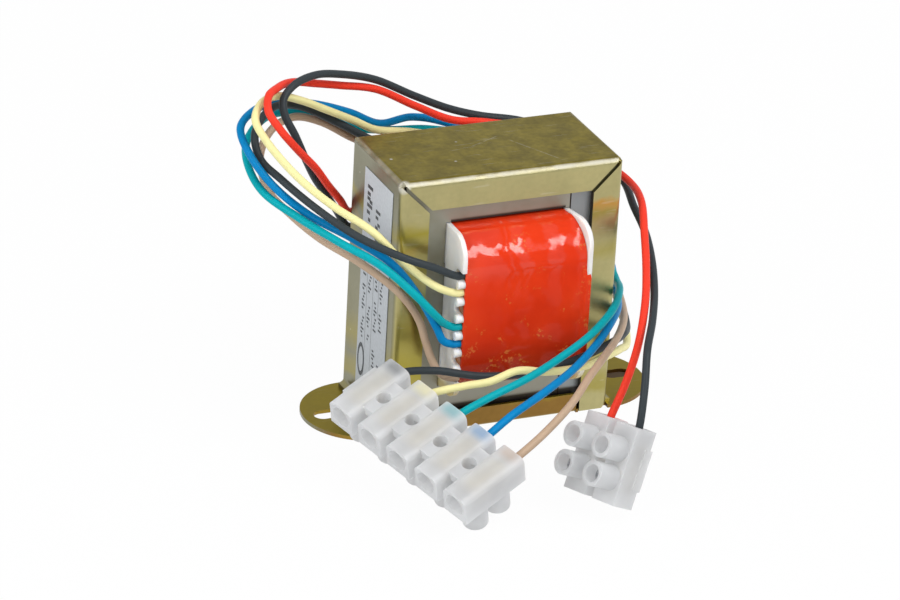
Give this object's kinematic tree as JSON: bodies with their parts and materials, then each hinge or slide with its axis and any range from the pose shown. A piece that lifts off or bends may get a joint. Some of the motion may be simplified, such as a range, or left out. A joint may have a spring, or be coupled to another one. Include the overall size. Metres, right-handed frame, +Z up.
{
  "type": "speaker line transformer",
  "caption": "Small EI-core line transformer in a plated steel frame on a slotted base plate, with a taped coil and coloured leads that end in plastic terminal strips.",
  "frame": {"origin": "middle of the base plate's underside", "axes": "+Z up from the base plate, +X along the base plate through both slots, -Y towards the coil face with the primary leads"},
  "size_m": [0.0913, 0.1016, 0.0722],
  "materials": {
    "chromated_steel": "yellow chromate over zinc plate",
    "silicon_steel": "dull varnished",
    "nylon": "natural, slightly translucent",
    "enamelled_copper": "enamelled copper wire",
    "insulating_paper": "plain",
    "red_tape": "glossy adhesive film",
    "label_paper": "coated",
    "black_pvc": "satin",
    "yellow_pvc": "satin",
    "green_pvc": "satin",
    "blue_pvc": "satin",
    "brown_pvc": "satin",
    "red_pvc": "satin",
    "polyethylene": "translucent natural",
    "brass": "turned",
    "zinc_plated_steel": "bright zinc",
    "bare_copper": "bare stranded copper"
  },
  "bodies": {
    "root": {"base_plate": "chromated_steel", "frame_shell": "chromated_steel", "core_e_laminations": "silicon_steel", "core_i_laminations": "silicon_steel", "bobbin": "nylon", "secondary_winding": "enamelled_copper", "winding_insulation": "insulating_paper", "primary_winding": "enamelled_copper", "outer_tape": "red_tape", "rating_label": "label_paper", "lead_black_primary": "black_pvc", "lead_yellow": "yellow_pvc", "lead_green": "green_pvc", "lead_blue": "blue_pvc", "lead_brown": "brown_pvc", "lead_red": "red_pvc", "lead_black_secondary": "black_pvc", "five_way_housing": "polyethylene", "five_way_clamps": "brass", "five_way_screws": "zinc_plated_steel", "five_way_wire_ends": "bare_copper", "two_way_housing": "polyethylene", "two_way_clamps": "brass", "two_way_screws": "zinc_plated_steel", "two_way_wire_ends": "bare_copper"}
  },
  "joints": []
}
